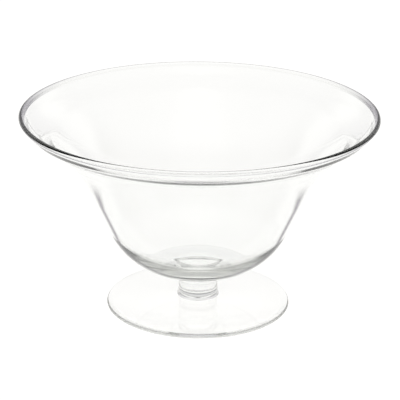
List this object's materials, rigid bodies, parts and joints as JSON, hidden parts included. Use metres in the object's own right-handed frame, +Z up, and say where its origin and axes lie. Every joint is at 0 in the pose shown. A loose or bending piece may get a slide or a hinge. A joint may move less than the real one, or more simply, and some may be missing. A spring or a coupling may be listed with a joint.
{
  "type": "trifle bowl",
  "caption": "Footed clear glass trifle bowl with a wide flared rim, a rounded belly, a short solid stem and a flat round foot.",
  "frame": {"origin": "centre of the resting ring under the foot, on the surface that the bowl stands on", "axes": "+Z up along the axis that every piece is turned about; +X and +Y are any two level directions"},
  "size_m": [0.2799, 0.28, 0.16],
  "materials": {
    "bowl_glass": "clear, fire-polished soda-lime glass",
    "stem_glass": "clear solid glass, fire-polished",
    "foot_glass": "clear pressed glass, fire-polished"
  },
  "bodies": {
    "root": {"bowl": "bowl_glass", "stem": "stem_glass", "foot": "foot_glass"}
  },
  "joints": []
}
